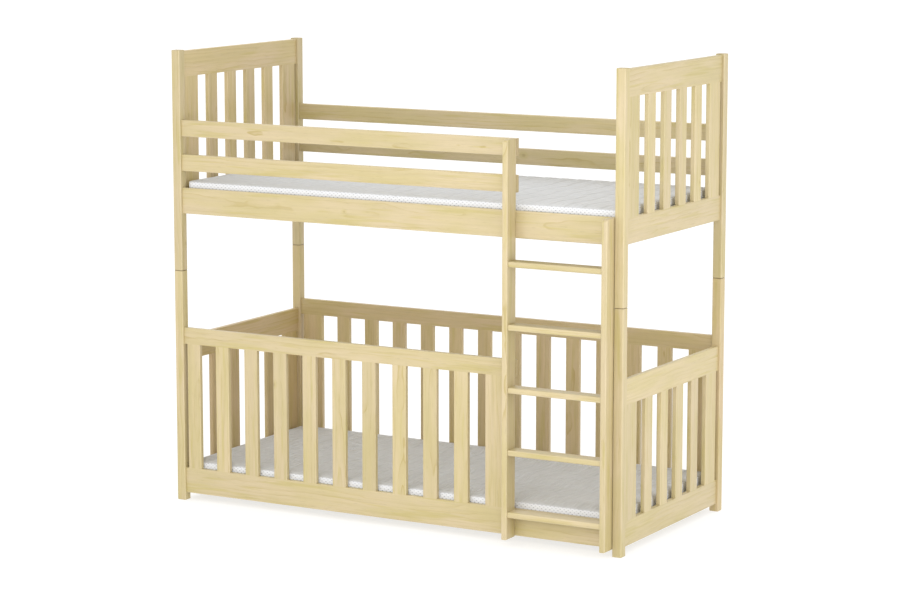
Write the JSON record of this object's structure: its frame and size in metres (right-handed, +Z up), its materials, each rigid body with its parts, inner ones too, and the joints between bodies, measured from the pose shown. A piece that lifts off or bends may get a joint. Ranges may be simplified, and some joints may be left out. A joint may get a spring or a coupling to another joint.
{
  "type": "bunk bed with ladder",
  "caption": "Pine bunk bed: slatted end panels, barrier and back panel round the lower bed, guard rails round the upper one, front ladder with flat rungs and two mattresses.",
  "frame": {"origin": "on the floor, under the middle of the whole bed with its ladder", "axes": "+X along the bed towards the ladder end, +Y from the ladder side to the back, +Z up"},
  "size_m": [1.88, 0.912, 1.71],
  "materials": {
    "pine": "clear satin lacquer on pine",
    "ladder_pine": "clear satin lacquer on pine",
    "support_pine": "planed, unlacquered pine",
    "beech_dowel": "fluted beech, unlacquered",
    "zinc_steel": "zinc-plated",
    "mattress_cover": "quilted cotton cover"
  },
  "bodies": {
    "frame": {"back_guard_rail_high": "pine", "back_guard_rail_low": "pine", "barrier_slats": "pine", "barrier_top_rail": "pine", "bed_slat_screws": "zinc_steel", "cross_nuts": "zinc_steel", "frame_dowels": "beech_dowel", "frame_studs": "zinc_steel", "front_guard_rail_high": "pine", "front_guard_rail_low": "pine", "ladder_screws": "zinc_steel", "ladder_stile_left": "ladder_pine", "ladder_stile_right": "ladder_pine", "ledger_screws": "zinc_steel", "lower_back_ledger": "support_pine", "lower_back_rail": "pine", "lower_back_slats": "pine", "lower_back_top_rail": "pine", "lower_bed_slats": "support_pine", "lower_front_ledger": "support_pine", "lower_front_rail": "pine", "lower_left_end_bottom_rail": "pine", "lower_left_end_slats": "pine", "lower_left_end_top_rail": "pine", "lower_post_back_left": "pine", "lower_post_back_right": "pine", "lower_post_front_left": "pine", "lower_post_front_right": "pine", "lower_right_end_bottom_rail": "pine", "lower_right_end_slats": "pine", "lower_right_end_top_rail": "pine", "post_pins": "zinc_steel", "rung_1": "ladder_pine", "rung_2": "ladder_pine", "rung_3": "ladder_pine", "rung_4": "ladder_pine", "rung_5": "ladder_pine", "rung_dowels": "beech_dowel", "slat_dowels": "beech_dowel", "upper_back_ledger": "support_pine", "upper_back_rail": "pine", "upper_bed_slats": "support_pine", "upper_front_ledger": "support_pine", "upper_front_rail": "pine", "upper_left_end_bottom_rail": "pine", "upper_left_end_slats": "pine", "upper_left_end_top_rail": "pine", "upper_post_back_left": "pine", "upper_post_back_right": "pine", "upper_post_front_left": "pine", "upper_post_front_right": "pine", "upper_right_end_bottom_rail": "pine", "upper_right_end_slats": "pine", "upper_right_end_top_rail": "pine"},
    "upper_mattress": {"upper_mattress": "mattress_cover"},
    "lower_mattress": {"lower_mattress": "mattress_cover"}
  },
  "joints": [
    {"name": "upper_mattress_lift", "type": "slide", "parent": "frame", "child": "upper_mattress", "axis": [0, 0, 1], "range_m": [0, 0.35]},
    {"name": "lower_mattress_lift", "type": "slide", "parent": "frame", "child": "lower_mattress", "axis": [0, 0, 1], "range_m": [0, 0.62]}
  ]
}
